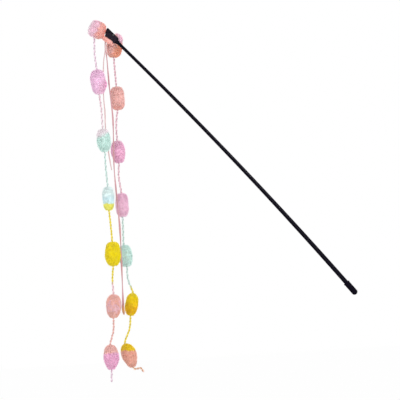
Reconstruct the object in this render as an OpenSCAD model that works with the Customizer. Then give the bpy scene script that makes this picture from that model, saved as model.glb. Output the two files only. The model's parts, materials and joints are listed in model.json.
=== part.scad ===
// Cat teaser wand, held up by its butt, with two hanging strands of pompom yarn and two thin cords.
// Millimetres, +Z up. The origin is the middle of the grip on the butt cap. The rod rises towards -X,
// and droops to its tip. The left strand hangs in front of the rod, at -Y, and the right one behind it.

/* [Wand] */
// Free length of the rod, from the mouth of the butt cap to the ferrule
rod_free = 397; // [340:1:520]
// Diameter of the rod at the butt cap
rod_butt_d = 5.4; // [5:0.1:6]
// Diameter of the rod at the tip
rod_tip_d = 3.7; // [3.4:0.1:4]
// Angle of the grip above the horizontal, in degrees
hold_angle = 52; // [50:0.5:54]
// How far the rod droops from its butt to its tip, in degrees
rod_droop = 4.4; // [3.5:0.1:5]

/* [Butt cap] */
// Outer diameter of the grip part of the cap
cap_d = 7.2; // [6.8:0.1:9]
// Length of the straight grip part
cap_grip_len = 14; // [12:0.5:24]
// Height of the domed end
cap_dome_h = 3; // [2:0.1:3.4]
// Length of the rim round the cap's mouth
cap_rim_len = 1.6; // [1:0.1:3]
// How far the rim stands out of the grip part
cap_rim_out = 0.35; // [0.2:0.05:0.8]
// Thickness of rubber left under the rod's end
cap_floor = 2.2; // [1.5:0.1:4]

/* [Ferrule] */
// Length of the crimped ferrule behind the clip
ferrule_len = 3.4; // [3:0.1:6]
// Wall of the ferrule between its beads
ferrule_wall = 0.6; // [0.5:0.05:0.8]
// How far the rear bead stands out of that wall
bead_rear_out = 0.35; // [0.2:0.05:0.5]
// How far the front bead stands out of that wall
bead_front_out = 0.8; // [0.5:0.05:1]

/* [Clip] */
// Length of the clip, from the ferrule's rear end to its nose
clip_len = 21.6; // [21:0.1:24]
// Width of the clip across both jaws
clip_w = 7.2; // [6.8:0.1:7.6]
// Height of the clip's top face over the rod's axis
clip_top = 4.4; // [4.3:0.05:4.8]
// Depth of the clip's back under the rod's axis
clip_low = 5; // [4.7:0.1:5.4]
// Depth of the lower lip under the rod's axis
lip_drop = 6.2; // [5.6:0.1:6.6]
// Depth of the socket that takes the rod's spigot
socket_depth = 5.2; // [4:0.1:5.4]
// Length of the lower jaw in front of the hinge pin
jaw_len = 8; // [7.6:0.1:8.2]
// Length of the nose, which hangs in front of the lower jaw
nose_len = 2.3; // [2:0.1:2.6]
// Thickness of the cheek that closes the mouth on its near side
cheek_w = 1; // [0.8:0.1:1.1]
// Half of the gap between the jaws, where the yarn lies
mouth_half = 1.5; // [1.5:0.05:1.6]
// Height of the teeth under the lid
tooth_h = 0.5; // [0.3:0.05:0.6]
// Number of teeth under the lid
tooth_count = 3; // [2:1:3]
// Diameter of the hinge pin
pin_d = 1.6; // [1.4:0.1:1.8]
// Width of the lid's knuckle between the ears
knuckle_w = 3.2; // [2.8:0.1:3.6]

/* [Yarn] */
// Diameter of the core yarn
yarn_d = 2.4; // [2:0.1:2.4]
// Diameter of the two thin cords
cord_d = 1.7; // [1.4:0.1:1.9]
// Diameter of the hitch that ties the thin cords to the clip
hitch_d = 4; // [3.6:0.1:4.2]
// Diameter of the knot at the end of the long cord
end_knot_d = 3.2; // [2.8:0.1:3.6]

/* [Pompoms] */
// Width of a usual pompom
pompom_w = 18; // [16:0.5:19]
// Height of a usual pompom
pompom_h = 30; // [28:0.5:33]
// Drop from the first to the last pompom of the left strand
left_drop = 393; // [385:1:440]
// Drop from the first to the last pompom of the right strand
right_drop = 373; // [366:1:420]
// Distance between the planes in which the two strands hang
strand_gap = 28; // [27:0.5:36]
// How far the first left pompom hangs ahead of the clip's nose
first_ahead = 7.3; // [7.2:0.1:9]
// How far the first left pompom hangs below the rod's axis
first_below = 6.3; // [5.8:0.1:6.6]
// How far the first right pompom hangs below the rod's axis
second_below = 6.1; // [5:0.1:6.4]

/* [Fits] */
// Gap round a piece that is glued or pushed into its seat
seat_gap = 0.05; // [0.02:0.01:0.1]
// Gap round the hinge pin in the lid's knuckle
pin_gap = 0.06; // [0.03:0.01:0.1]
// Gap between the lid and the clip that it turns against
lid_gap = 0.3; // [0.2:0.05:0.4]
// Gap between the pile and the core yarn that runs through it
core_gap = 0.3; // [0.2:0.05:0.4]
// Depth inside a pompom's hem at which the next yarn bends
nest = 2.5; // [2.2:0.1:3]
// Room over the end of a yarn that swings in a pompom's hem
swing_room = 0.9; // [0.85:0.01:0.95]

/* [Hidden] */

$fn = 48;

// The two strands, as the first index of the tables below
LEFT = 0;
RIGHT = 1;

// Each pompom's width and height, as shares of a usual one's, from the clip down
width_shares = [[1.12, 0.98, 0.9, 0.77, 1, 1, 1], [1.02, 0.95, 0.9, 0.86, 0.9, 0.86, 0.97]];
height_shares = [[0.7, 1.02, 0.95, 1, 1, 0.98, 1.04], [0.95, 0.98, 0.93, 0.99, 0.9, 0.94, 1.02]];
// How far each pompom hangs down its strand, as a share of the strand's drop
drop_shares = [[0, 0.16, 0.339, 0.517, 0.686, 0.845, 1], [0, 0.169, 0.342, 0.514, 0.678, 0.836, 1]];
// How far each pompom hangs to the right of the first, as a share of a usual width
side_shares = [[0, -0.14, 0.01, 0.08, 0.16, 0, -0.38], [0, 0, -0.15, -0.1, -0.07, 0.16, -0.2]];
// How far each pompom hangs behind the rod's plane, as a share of the gap between the strands
depth_shares = [[-0.36, -0.5, -0.5, -0.5, -0.5, -0.5, -0.5], [0.5, 0.5, 0.5, 0.5, 0.5, 0.5, 0.5]];
// How far each pompom leans, in degrees, with its lower end to the left
leans = [[28, -2, -3, 0, 0, 3, 0], [6, 0, -2, 0, -6, 10, -17]];
// How far the yarn above each pompom bows to the right halfway along, as a share of its diameter
bow_shares = [[0, -0.45, 0.35, -0.2, 0.1, -0.45, 0.8], [0, 0, -0.6, -0.7, 0, -1, 0.9]];

// The tails' routes under the last pompoms
tail_routes = [
    [[-0.5, 0, -7], [-1, 0, -14]],
    [[3.5, 0, -1.5], [8.5, 0, -1], [12, 0, -6]]
];
// The thin cords' routes under the hitch
long_route = [
    [-0.5, 1.1, -10], [0.5, 1.1, -20], [1, 1.1, -38], [1.5, 1.1, -56], [2.5, 1.1, -74], [3.5, 1.1, -92],
    [3, 1.1, -114], [2, 1.1, -134], [1.5, 1.1, -154], [2, 1.1, -174], [3, 1.1, -198], [4, 1.1, -222],
    [4, 1.1, -246], [3.5, 1.1, -272], [3, 1.1, -300], [2.5, 1.1, -324]
];
short_route = [
    [-1, -1.1, -13], [-3.5, -1.1, -26], [-5, -1.1, -46], [-6, -1.1, -68], [-5.5, -1.1, -86],
    [-6, -1.1, -104], [-5, -1.1, -122], [-3.5, -1.1, -140], [-1.5, -1.1, -156]
];

// Places along the clip, from the ferrule's rear end, and heights over the rod's axis
block_back = ferrule_len;
ear_r = 0.4 * clip_top;
pin_up = clip_top - ear_r;
pin_at = block_back + socket_depth + ear_r + lid_gap;
jaw_end = pin_at + jaw_len;
edge = 0.14 * clip_top;
lid_under = mouth_half + tooth_h;
bar_back = pin_at + ear_r + lid_gap;
nose_drop = 0.67 * mouth_half;
nose_back = clip_len - nose_len;
roof_len = nose_back - bar_back;
// The lid's underside slopes down to its nose from here
brow = bar_back + 0.43 * roof_len;
brow_slope = (lid_under + nose_drop) / (nose_back - brow);
cheek_up = lid_under - lid_gap;
cheek_front = cheek_up - (jaw_end - brow + lid_gap) * brow_slope;
// The floor of the mouth slopes down in front, so that the yarn leaves under the nose
chute_drop = nose_drop + yarn_d + 2 * core_gap;
chute_back = brow - 0.7 * mouth_half;
jaw_slant = 0.27 * lip_drop;
chute_end = jaw_end - jaw_slant * (chute_drop + cheek_front) / (lip_drop + cheek_front);
lip_back = jaw_end - 0.87 * lip_drop;

// The rod's bend, and the frame at its tip
cap_mouth = cap_grip_len / 2 + cap_rim_len;
bend_r = rod_free / (rod_droop * PI / 180);
butt_tilt = 90 - hold_angle;
tip_tilt = butt_tilt + rod_droop;
spigot_step = 0.02 * rod_butt_d;
overrun = 0.2 * rod_butt_d;
rod_steps = 14;
rod_sides = 28;

// The tube, dimple and pile counts
tube_sides = 8;
pile_sides = 16;
pile_rings = 9;
pile_lobes = 5;
pile_lobe_share = 0.045;
pile_twist = 70;
barrel_power = 0.5;
mouth_r = yarn_d / 2 + 0.86 * nest;
roof_r = yarn_d / 2 + 1.5 * core_gap;
nest_depth = nest + swing_room;

// Turns a point about the Y axis, as rotate([0, a, 0]) does
function turned(p, a) = [p[0] * cos(a) + p[2] * sin(a), p[1], p[2] * cos(a) - p[0] * sin(a)];
function bend_at(s) = s / bend_r * 180 / PI;
// A point of the rod's axis, s along its free length, where the grip's axis is +Z
function rod_axis(s) = [-bend_r * (1 - cos(bend_at(s))), 0, cap_mouth + bend_r * sin(bend_at(s))];
tip_point = turned(rod_axis(rod_free), -butt_tilt);
// A point given by its height over the rod's axis, its depth, and its distance ahead of the ferrule's end
function tip_place(up, back, ahead) = tip_point + turned([up, back, ahead], -tip_tilt);

drops = [left_drop, right_drop];
// The distance ahead of the ferrule at which the first right pompom hangs
second_ahead = 0.065 * clip_len;
firsts = [
    tip_place(-first_below, depth_shares[LEFT][0] * strand_gap, clip_len + first_ahead),
    tip_place(-second_below, depth_shares[RIGHT][0] * strand_gap, second_ahead)
];

function pile_h(s, k) = height_shares[s][k] * pompom_h;
function pile_w(s, k) = width_shares[s][k] * pompom_w;
function pile_up(s, k) = [sin(leans[s][k]), 0, cos(leans[s][k])];
function pile_centre(s, k) = [
    firsts[s][0] + side_shares[s][k] * pompom_w,
    depth_shares[s][k] * strand_gap,
    firsts[s][2] - drop_shares[s][k] * drops[s]
];
// A point on a pompom's own axis, t times half its height up from its centre and d further in
function pile_axis(s, k, t, d) = pile_centre(s, k) + (t * pile_h(s, k) / 2 - sign(t) * d) * pile_up(s, k);

function unit(v) = v / norm(v);
function along(route, i) = unit(route[min(i + 1, len(route) - 1)] - route[max(i - 1, 0)]);
// The corners of a tube's ring about the route's point i, square to the route there
function ring(route, i, r, sides, side_way) =
    let (t = along(route, i), u = unit(cross(side_way, t)), v = cross(t, u))
    [for (j = [0:sides - 1]) route[i] + r * (cos(360 * j / sides) * u + sin(360 * j / sides) * v)];
// The triangles between rings of points, numbered from ring to ring, with both ends closed
function ring_faces(rings, sides) = concat(
    [for (i = [0:rings - 2], j = [0:sides - 1])
        [i * sides + j, (i + 1) * sides + j, i * sides + (j + 1) % sides]],
    [for (i = [0:rings - 2], j = [0:sides - 1])
        [(i + 1) * sides + j, (i + 1) * sides + (j + 1) % sides, i * sides + (j + 1) % sides]],
    [[for (j = [0:sides - 1]) j]],
    [[for (j = [0:sides - 1]) rings * sides - 1 - j]]
);

// A cord's tube along a route. side_way is a direction that the route never takes.
module tube(route, d, side_way = [0, 1, 0]) {
    polyhedron(
        [for (i = [0:len(route) - 1]) each ring(route, i, d / 2, tube_sides, side_way)],
        ring_faces(len(route), tube_sides)
    );
}

// Puts a piece in the frame of the grip, where +Z runs up the rod
module at_grip() {
    rotate([0, -butt_tilt, 0]) children();
}

// Puts a piece in the frame of the tip, where +Z runs on to the clip's nose and +X is its top
module at_tip() {
    translate(tip_point) rotate([0, -tip_tilt, 0]) children();
}

// An outline of heights and distances ahead, made as wide as w
module side_plate(w) {
    rotate([90, 0, 0]) linear_extrude(w, center = true) children();
}

// A rod across the clip at the hinge pin's place
module across(r, w) {
    translate([pin_up, 0, pin_at]) rotate([90, 0, 0]) cylinder(h = w, r = r, center = true);
}

module rod() {
    color([0.06, 0.06, 0.07]) {
        at_grip() {
            polyhedron(
                [for (i = [0:rod_steps])
                    let (s = rod_free * i / rod_steps, a = bend_at(s),
                         r = (rod_butt_d + (rod_tip_d - rod_butt_d) * i / rod_steps) / 2)
                    each [for (j = [0:rod_sides - 1])
                        rod_axis(s) + turned(r * [cos(360 * j / rod_sides), sin(360 * j / rod_sides), 0], -a)]],
                ring_faces(rod_steps + 1, rod_sides)
            );
            translate([0, 0, cap_floor - cap_grip_len / 2 - cap_dome_h + lid_gap])
                cylinder(h = cap_mouth + overrun + cap_grip_len / 2 + cap_dome_h - cap_floor - lid_gap,
                         r = rod_butt_d / 2 - spigot_step);
        }
        at_tip() translate([0, 0, -overrun])
            cylinder(h = overrun + block_back + socket_depth - lid_gap, r = rod_tip_d / 2 - spigot_step);
    }
}

module butt_cap() {
    dome_r = (pow(cap_d / 2, 2) + pow(cap_dome_h, 2)) / (2 * cap_dome_h);
    rim_r = cap_d / 2 + cap_rim_out;
    color([0.09, 0.09, 0.1]) at_grip() difference() {
        union() {
            translate([0, 0, -cap_grip_len / 2]) cylinder(h = cap_grip_len, r = cap_d / 2);
            translate([0, 0, cap_grip_len / 2]) cylinder(h = cap_rim_len - cap_rim_out, r = rim_r);
            translate([0, 0, cap_mouth - cap_rim_out]) cylinder(h = cap_rim_out, r1 = rim_r, r2 = cap_d / 2);
            intersection() {
                translate([0, 0, dome_r - cap_grip_len / 2 - cap_dome_h]) sphere(r = dome_r);
                translate([0, 0, -cap_grip_len / 2 - cap_dome_h]) cylinder(h = cap_dome_h, r = cap_d / 2);
            }
        }
        translate([0, 0, cap_floor - cap_grip_len / 2 - cap_dome_h])
            cylinder(h = cap_mouth + cap_grip_len / 2 + cap_dome_h, r = rod_butt_d / 2 + seat_gap);
    }
}

module ferrule() {
    inner = rod_tip_d / 2 + seat_gap;
    outer = inner + ferrule_wall;
    color([0.1, 0.1, 0.11]) at_tip() rotate_extrude() polygon([
        [inner, 0], [outer, 0], [outer + bead_rear_out, 0.1 * ferrule_len],
        [outer + bead_rear_out, 0.35 * ferrule_len], [outer, 0.45 * ferrule_len],
        [outer, 0.6 * ferrule_len], [outer + bead_front_out, 0.7 * ferrule_len],
        [outer + bead_front_out, ferrule_len], [inner, ferrule_len]
    ]);
}

// The clip's cross-section, looking along the rod: a rectangle with round corners
module clip_section(low) {
    r = 0.22 * clip_w;
    half = clip_w / 2;
    translate([-low, r - half]) square([low + clip_top, clip_w - 2 * r]);
    translate([r - low, -half]) square([low + clip_top - 2 * r, clip_w]);
    for (x = [r - low, clip_top - r], y = [r - half, half - r])
        translate([x, y]) circle(r = r);
}

module clip_body() {
    slot_r = ear_r + lid_gap;
    slot_w = knuckle_w + 2 * lid_gap;
    color([0.07, 0.07, 0.08]) at_tip() difference() {
        intersection() {
            union() {
                side_plate(clip_w) polygon([
                    [edge - clip_low, block_back], [-clip_low, block_back + edge], [-clip_low, lip_back],
                    [-lip_drop, lip_back + 0.3 * lip_drop], [-lip_drop, jaw_end - jaw_slant],
                    [-chute_drop, chute_end], [-mouth_half, chute_back],
                    [-mouth_half, pin_at + ear_r], [pin_up, pin_at + ear_r], [clip_top, pin_at],
                    [clip_top, block_back + edge], [clip_top - edge, block_back]
                ]);
                across(ear_r, clip_w);
                translate([0, (cheek_w - clip_w) / 2, 0]) side_plate(cheek_w) polygon([
                    [-clip_low, pin_at], [cheek_up, pin_at], [cheek_up, brow - lid_gap],
                    [cheek_front, jaw_end], [-lip_drop, jaw_end - jaw_slant]
                ]);
            }
            linear_extrude(clip_len) clip_section(lip_drop);
        }
        linear_extrude(block_back + socket_depth) circle(r = rod_tip_d / 2 - spigot_step + seat_gap);
        across(slot_r, slot_w);
        translate([pin_up, -slot_w / 2, pin_at - slot_r]) cube([slot_r, slot_w, 2 * slot_r]);
        translate([pin_up - slot_r, -slot_w / 2, pin_at]) cube([2 * slot_r, slot_w, slot_r]);
        across(pin_d / 2 + seat_gap, 2 * clip_w);
    }
}

module clip_lid() {
    pitch = (brow - bar_back) / tooth_count;
    color([0.08, 0.08, 0.09]) at_tip() difference() {
        union() {
            intersection() {
                side_plate(clip_w) polygon([
                    [lid_under, bar_back], [lid_under, brow], [-nose_drop, nose_back],
                    [-nose_drop, clip_len - edge], [clip_top - edge, clip_len],
                    [clip_top, clip_len - edge], [clip_top, bar_back]
                ]);
                linear_extrude(clip_len) clip_section(lip_drop);
            }
            across(ear_r, knuckle_w);
            translate([pin_up - ear_r / 2, -knuckle_w / 2, pin_at])
                cube([1.5 * ear_r, knuckle_w, bar_back + edge - pin_at]);
            for (i = [1:tooth_count])
                side_plate(clip_w - 2.8 * cheek_w) translate([lid_under, bar_back + (i - 0.5) * pitch])
                    polygon([[edge, -tooth_h], [-tooth_h, 0], [edge, tooth_h]]);
        }
        across(pin_d / 2 + pin_gap, 2 * clip_w);
    }
}

module clip_pin() {
    head_r = 0.75 * pin_d;
    head_h = 0.25 * pin_d;
    color([0.2, 0.2, 0.21]) at_tip() {
        across(pin_d / 2, clip_w);
        for (y = [-1, 1])
            translate([pin_up, y * (clip_w + head_h) / 2, pin_at]) rotate([90, 0, 0])
                cylinder(h = head_h, r = head_r, center = true);
    }
}

// The hollow in a pompom's hem round a yarn that bends at this place, with room for its swing
module hem() {
    translate([0, 0, -2 * nest])
        cylinder(h = 2 * nest + swing_room, r1 = mouth_r + nest * (mouth_r - roof_r) / nest_depth, r2 = roof_r);
}

// The pile of one pompom: a soft barrel with a few lobes, bored for its core yarn. hems are the ends, -1 below
// and 1 above, where the pile opens round a yarn that swings. bored is whether the core runs right through.
module pompom(s, k, hems, bored = true) {
    h = pile_h(s, k);
    r = pile_w(s, k) / 2;
    rings = [for (i = [1:pile_rings])
        let (a = 180 * i / (pile_rings + 1))
        [for (j = [0:pile_sides - 1])
            let (b = 360 * j / pile_sides,
                 lobes = 1 + pile_lobe_share * cos(pile_lobes * b + pile_twist * i),
                 q = r * pow(sin(a), barrel_power) * lobes)
            [q * cos(b), q * sin(b), -h / 2 * cos(a)]]];
    last = pile_rings * pile_sides;
    translate(pile_centre(s, k)) rotate([0, leans[s][k], 0]) difference() {
        polyhedron(
            concat([for (c = rings) each c], [[0, 0, -h / 2], [0, 0, h / 2]]),
            concat(
                [for (f = ring_faces(pile_rings, pile_sides)) if (len(f) == 3) f],
                [for (j = [0:pile_sides - 1]) [last, j, (j + 1) % pile_sides]],
                [for (j = [0:pile_sides - 1])
                    [last + 1, last - pile_sides + (j + 1) % pile_sides, last - pile_sides + j]]
            )
        );
        for (e = hems)
            mirror([0, 0, e > 0 ? 1 : 0]) translate([0, 0, nest - h / 2]) hem();
        if (bored)
            translate([0, 0, -h]) cylinder(h = 2 * h, r = yarn_d / 2 + core_gap);
    }
}

// The yarn from the hem of the pompom above, down through this one's pile
function yarn_route(s, k) =
    let (start = pile_axis(s, k - 1, -1, nest), end = pile_axis(s, k, 1, 0),
         middle = (start + end) / 2 + [bow_shares[s][k] * yarn_d, 0, 0])
    [start, middle, end, pile_axis(s, k, -1, nest_depth)];

// The first free stretch ends where the second pompom sways
function lead_route(s) =
    let (start = pile_axis(s, 0, -1, nest), end = pile_axis(s, 1, 1, nest))
    [start, (start + end) / 2 + [bow_shares[s][1] * yarn_d, 0, 0], end];

// The second pompom's own core yarn, from hem to hem
function core_route(s) = [pile_axis(s, 1, 1, nest_depth), pile_axis(s, 1, -1, nest_depth)];

// The last yarn runs out of its pompom as a tail
function last_route(s) =
    let (route = yarn_route(s, 6), out = pile_axis(s, 6, -1, 0))
    concat([route[0], route[1], route[2], out], [for (p = tail_routes[s]) out + p]);

module yarn(route, tone) {
    color(tone) tube(route, yarn_d);
}

// The yarn through the clip's mouth, from a socket in the first left pompom to one in the first right one.
// It leaves the mouth under the nose on the left strand's side, and past the open side on the right one's.
entry_from = tip_place(-nose_drop - core_gap - 0.55 * yarn_d, -0.33 * yarn_d, nose_back + 0.1 * yarn_d);
exit_from = tip_place(0, clip_w / 2 + 0.45 * yarn_d, bar_back + 0.35 * yarn_d);
function loop_end(s, from) = pile_centre(s, 0) - 0.15 * pompom_w * unit(pile_centre(s, 0) - from);
loop_route = [
    loop_end(LEFT, entry_from), entry_from,
    tip_place(-0.95 * mouth_half, 0.35 * yarn_d, bar_back + 0.69 * roof_len),
    tip_place(-0.15 * mouth_half, 1.1 * yarn_d, bar_back + 0.375 * roof_len),
    exit_from, loop_end(RIGHT, exit_from)
];

module yarn_loop() {
    color([0.98, 0.55, 0.55]) tube(loop_route, yarn_d, turned([1, 0, 0], -tip_tilt));
}

// The first pompom of a strand, with a socket in its side for the loop's end. Its hem opens straight down.
module first_pompom(s, from) {
    out = unit(from - pile_centre(s, 0));
    difference() {
        pompom(s, 0, [], bored = false);
        translate(pile_axis(s, 0, -1, nest)) hem();
        translate(loop_end(s, from) - core_gap * out)
            rotate([0, acos(out[2]), atan2(out[1], out[0])])
                cylinder(h = pompom_w, r = yarn_d / 2 + core_gap);
    }
}

hitch_place = tip_place(-lip_drop - hitch_d / 2 - core_gap, 0, jaw_end - 0.87 * lip_drop);

module cord_hitch() {
    color([0.8, 0.62, 0.64]) translate(hitch_place) sphere(d = hitch_d);
}

// A thin cord's route starts just off the hitch, under its middle, in the cord's own plane
function cord_route(route) =
    let (way = unit([route[0][0], 0, route[0][2]]))
    concat(
        [hitch_place + (hitch_d / 2 + core_gap) * way + [0, route[0][1], 0]],
        [for (p = route) hitch_place + p]
    );

module long_cord() {
    color([0.78, 0.62, 0.65]) tube(cord_route(long_route), cord_d);
}

module long_cord_knot() {
    color([0.78, 0.6, 0.62])
        translate(hitch_place + long_route[len(long_route) - 1] - [0, 0, end_knot_d / 2])
            sphere(d = end_knot_d);
}

module short_cord() {
    color([0.84, 0.7, 0.72]) tube(cord_route(short_route), cord_d);
}

module left_pompom_1() { color([0.99, 0.6, 0.62]) first_pompom(LEFT, entry_from); }
module left_pompom_2() { color([0.97, 0.74, 0.93]) pompom(LEFT, 1, [-1, 1]); }
module left_pompom_3() { color([0.8, 0.9, 0.88]) pompom(LEFT, 2, [-1]); }
module left_pompom_4() { color([0.78, 0.91, 0.97]) pompom(LEFT, 3, [-1]); }
module left_pompom_5() { color([0.99, 0.89, 0.2]) pompom(LEFT, 4, [-1]); }
module left_pompom_6() { color([0.99, 0.7, 0.68]) pompom(LEFT, 5, [-1]); }
module left_pompom_7() { color([0.98, 0.74, 0.88]) pompom(LEFT, 6, []); }
module right_pompom_1() { color([0.99, 0.6, 0.5]) first_pompom(RIGHT, exit_from); }
module right_pompom_2() { color([0.99, 0.7, 0.68]) pompom(RIGHT, 1, [-1, 1]); }
module right_pompom_3() { color([0.99, 0.6, 0.8]) pompom(RIGHT, 2, [-1]); }
module right_pompom_4() { color([0.99, 0.72, 0.86]) pompom(RIGHT, 3, [-1]); }
module right_pompom_5() { color([0.75, 0.9, 0.88]) pompom(RIGHT, 4, [-1]); }
module right_pompom_6() { color([0.99, 0.89, 0.15]) pompom(RIGHT, 5, [-1]); }
module right_pompom_7() { color([0.99, 0.75, 0.6]) pompom(RIGHT, 6, []); }

module left_yarn_2() { yarn(lead_route(LEFT), [0.94, 0.72, 0.88]); }
module left_core_2() { yarn(core_route(LEFT), [0.95, 0.75, 0.9]); }
module left_yarn_3() { yarn(yarn_route(LEFT, 2), [0.96, 0.8, 0.88]); }
module left_yarn_4() { yarn(yarn_route(LEFT, 3), [0.84, 0.93, 0.92]); }
module left_yarn_5() { yarn(yarn_route(LEFT, 4), [0.98, 0.9, 0.4]); }
module left_yarn_6() { yarn(yarn_route(LEFT, 5), [0.98, 0.84, 0.6]); }
module left_yarn_7() { yarn(last_route(LEFT), [0.97, 0.72, 0.72]); }
module right_yarn_2() { yarn(lead_route(RIGHT), [0.93, 0.66, 0.7]); }
module right_core_2() { yarn(core_route(RIGHT), [0.97, 0.7, 0.7]); }
module right_yarn_3() { yarn(yarn_route(RIGHT, 2), [0.96, 0.7, 0.8]); }
module right_yarn_4() { yarn(yarn_route(RIGHT, 3), [0.96, 0.7, 0.84]); }
module right_yarn_5() { yarn(yarn_route(RIGHT, 4), [0.85, 0.93, 0.91]); }
module right_yarn_6() { yarn(yarn_route(RIGHT, 5), [0.93, 0.91, 0.5]); }
module right_yarn_7() { yarn(last_route(RIGHT), [0.97, 0.86, 0.4]); }

rod();
butt_cap();
ferrule();
clip_body();
clip_lid();
clip_pin();
yarn_loop();
cord_hitch();
left_pompom_1();
left_pompom_2();
left_pompom_3();
left_pompom_4();
left_pompom_5();
left_pompom_6();
left_pompom_7();
right_pompom_1();
right_pompom_2();
right_pompom_3();
right_pompom_4();
right_pompom_5();
right_pompom_6();
right_pompom_7();
left_yarn_2();
left_core_2();
left_yarn_3();
left_yarn_4();
left_yarn_5();
left_yarn_6();
left_yarn_7();
right_yarn_2();
right_core_2();
right_yarn_3();
right_yarn_4();
right_yarn_5();
right_yarn_6();
right_yarn_7();
long_cord();
long_cord_knot();
short_cord();
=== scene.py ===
"""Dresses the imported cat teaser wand: glossy rod, rubber cap, hinged clip, pompom yarn and two thin cords.

Everything is in metres in the part's own frame: +Z up, the rod rises towards -X, the strands hang along -Z.
"""

import json
import logging
import math
from dataclasses import dataclass, field
from enum import Enum
from typing import Callable, Sequence

import bmesh
import bpy
import numpy as np
from bmesh.types import BMesh, BMEdge, BMVert
from bpy.types import ID, Material, Node, NodeSocket, NodeTree, Object
from mathutils import Matrix, Vector


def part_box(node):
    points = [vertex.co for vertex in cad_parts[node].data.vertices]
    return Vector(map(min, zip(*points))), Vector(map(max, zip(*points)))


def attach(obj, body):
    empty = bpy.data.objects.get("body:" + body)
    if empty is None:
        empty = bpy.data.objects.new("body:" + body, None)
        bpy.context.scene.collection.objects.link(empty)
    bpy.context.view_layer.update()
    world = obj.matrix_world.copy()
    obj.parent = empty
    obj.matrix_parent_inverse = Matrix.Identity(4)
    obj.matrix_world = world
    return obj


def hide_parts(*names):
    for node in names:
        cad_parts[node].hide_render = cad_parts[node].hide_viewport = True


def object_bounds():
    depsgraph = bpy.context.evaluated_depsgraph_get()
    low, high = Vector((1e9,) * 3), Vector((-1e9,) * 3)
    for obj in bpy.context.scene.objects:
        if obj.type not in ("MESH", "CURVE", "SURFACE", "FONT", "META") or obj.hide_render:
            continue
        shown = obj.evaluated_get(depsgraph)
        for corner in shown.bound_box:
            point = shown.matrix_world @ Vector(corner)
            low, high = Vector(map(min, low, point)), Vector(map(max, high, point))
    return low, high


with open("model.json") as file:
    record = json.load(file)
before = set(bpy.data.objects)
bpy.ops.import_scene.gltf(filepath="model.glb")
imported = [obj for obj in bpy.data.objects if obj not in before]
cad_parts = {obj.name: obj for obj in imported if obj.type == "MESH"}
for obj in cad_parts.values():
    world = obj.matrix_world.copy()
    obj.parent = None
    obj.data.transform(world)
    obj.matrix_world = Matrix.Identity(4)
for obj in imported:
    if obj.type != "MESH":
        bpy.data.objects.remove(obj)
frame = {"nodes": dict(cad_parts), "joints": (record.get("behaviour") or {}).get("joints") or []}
cad_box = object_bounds()

log = logging.getLogger("wand")

MM = 0.001
RGB = tuple[float, float, float]
Route = tuple[tuple[float, float, float], ...]
MERGE = 0.002 * MM
FLAT = math.radians(0.5)
SHARP = math.radians(32)
FLAT_WEIGHT = 90
TINY = 1e-12
WHITE = (1.0, 1.0, 1.0, 1.0)


class Side(Enum):
    """The two strands of pompom yarn, by the word that starts their nodes' names."""

    LEFT = "left"
    RIGHT = "right"


class Socket(Enum):
    """The kinds of socket that the finishes' node groups use."""

    NUMBER = "NodeSocketFloat"
    COLOUR = "NodeSocketColor"


def linear(rgb: RGB) -> tuple[float, ...]:
    """Turns a colour as a screen shows it, from 0 to 255, into Blender's linear values."""
    shares = [v / 255 for v in rgb]
    return (*[s / 12.92 if s <= 0.04045 else ((s + 0.055) / 1.055) ** 2.4 for s in shares], 1.0)


def joint_place(name: str) -> Vector:
    """The place of a joint's axis at rest."""
    return Vector(next(j["pos_m"] for j in frame["joints"] if j["name"] == name))


def middle_of(node: str) -> Vector:
    """The middle of a CAD node's box at rest."""
    low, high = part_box(node)
    return (low + high) / 2


def in_scene(name: str, data: ID) -> Object:
    """Makes an object and puts it in the scene."""
    made = bpy.data.objects.new(name, data)
    bpy.context.scene.collection.objects.link(made)
    return made


def dress(piece: Object, slot: str, body: str, *nodes: str) -> None:
    """Gives a finished piece its place in the part's frame.

    Args:
        piece: The piece.
        slot: Its material slot in the record; not used.
        body: The body that it rides on.
        nodes: The CAD nodes that it stands for, if any.
    """
    if nodes:
        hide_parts(*nodes)
    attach(piece, body)
    log.info("%s rides on %s", piece.name, body)


def write_values(piece: Object, **values: np.ndarray) -> None:
    """Writes a piece's point attributes.

    Args:
        piece: The piece.
        values: Each attribute's values, by its name.
    """
    for label, row in values.items():
        made = piece.data.attributes.new(label, "FLOAT", "POINT")
        made.data.foreach_set("value", row.astype(np.float32))


def even_tone(piece: Object, lay: float = 0.75) -> None:
    """Gives a piece with no fibres the attributes that the fibre finish reads; a lower lay takes more of its
    painted root shade.
    """
    count = len(piece.data.vertices)
    write_values(piece, lay=np.full(count, lay), tone=np.full(count, 0.5))


def unit(ways: np.ndarray) -> np.ndarray:
    """The ways, each with a length of 1."""
    return ways / (np.linalg.norm(ways, axis=-1, keepdims=True) + TINY)


def along_surface(ways: np.ndarray, out: np.ndarray) -> np.ndarray:
    """The ways, laid down on a surface that faces out, each with a length of 1."""
    return unit(ways - out * (ways * out).sum(axis=1, keepdims=True))


def placed(route: Route, origin: Vector = Vector()) -> list[Vector]:
    """A route's points in metres, from its own in millimetres about an origin."""
    return [origin + Vector(p) * MM for p in route]


def length_of(line: Sequence[Vector]) -> float:
    """The length of a line of points."""
    return sum((b - a).length for a, b in zip(line, line[1:]))


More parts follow.
